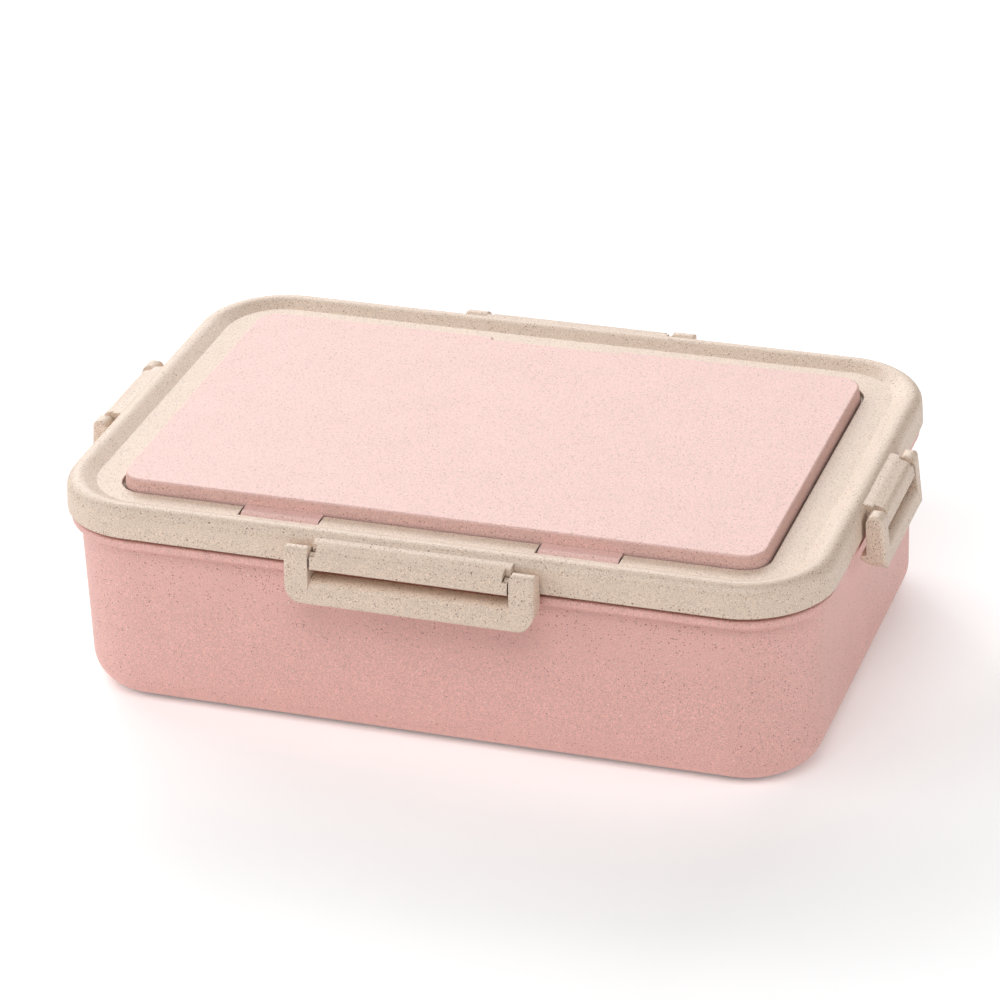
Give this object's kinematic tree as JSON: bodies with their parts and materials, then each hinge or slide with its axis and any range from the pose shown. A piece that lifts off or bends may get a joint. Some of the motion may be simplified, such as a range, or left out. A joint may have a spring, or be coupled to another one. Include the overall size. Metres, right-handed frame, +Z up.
{
  "type": "bento lunch box",
  "caption": "Rectangular lunch box: pink tub with divider, beige clip-on lid with raised rim and side latches, hinged pink cover over a cutlery well.",
  "frame": {"origin": "on the table, under the middle of the closed box", "axes": "+X along the length, +Z up, -Y the side where the cutlery cover is hinged"},
  "size_m": [0.2444, 0.1644, 0.0683],
  "materials": {
    "pink_plastic": "matte, moulded wheat-straw plastic with fine brown speckles",
    "beige_plastic": "matte, moulded wheat-straw plastic with fine brown speckles",
    "silicone": "soft translucent white silicone",
    "cutlery_plastic": "satin, moulded wheat-straw plastic with fine brown speckles"
  },
  "bodies": {
    "tub": {"tub": "pink_plastic", "divider": "pink_plastic"},
    "lid": {"lid": "beige_plastic", "lid_seal": "silicone", "spoon": "cutlery_plastic", "fork": "cutlery_plastic"},
    "cutlery_cover": {"cutlery_cover": "pink_plastic"},
    "latch_front": {"latch_front": "beige_plastic"},
    "latch_back": {"latch_back": "beige_plastic"},
    "latch_left": {"latch_left": "beige_plastic"},
    "latch_right": {"latch_right": "beige_plastic"}
  },
  "joints": [
    {"name": "lid_lift", "type": "slide", "parent": "tub", "child": "lid", "axis": [0, 0, 1], "range_m": [0, 0.06]},
    {"name": "cover_hinge", "type": "hinge", "parent": "lid", "child": "cutlery_cover", "pos_m": [0, -0.0626, 0.0631], "axis": [1, 0, 0], "range_deg": [0, 95]},
    {"name": "latch_front_hinge", "type": "hinge", "parent": "lid", "child": "latch_front", "pos_m": [0, -0.0783, 0.0619], "axis": [-1, 0, 0], "range_deg": [-6, 110]},
    {"name": "latch_back_hinge", "type": "hinge", "parent": "lid", "child": "latch_back", "pos_m": [0, 0.0783, 0.0619], "axis": [1, 0, 0], "range_deg": [-6, 110]},
    {"name": "latch_left_hinge", "type": "hinge", "parent": "lid", "child": "latch_left", "pos_m": [-0.1183, 0, 0.0619], "axis": [0, 1, 0], "range_deg": [-6, 110]},
    {"name": "latch_right_hinge", "type": "hinge", "parent": "lid", "child": "latch_right", "pos_m": [0.1183, 0, 0.0619], "axis": [0, -1, 0], "range_deg": [-6, 110]}
  ]
}
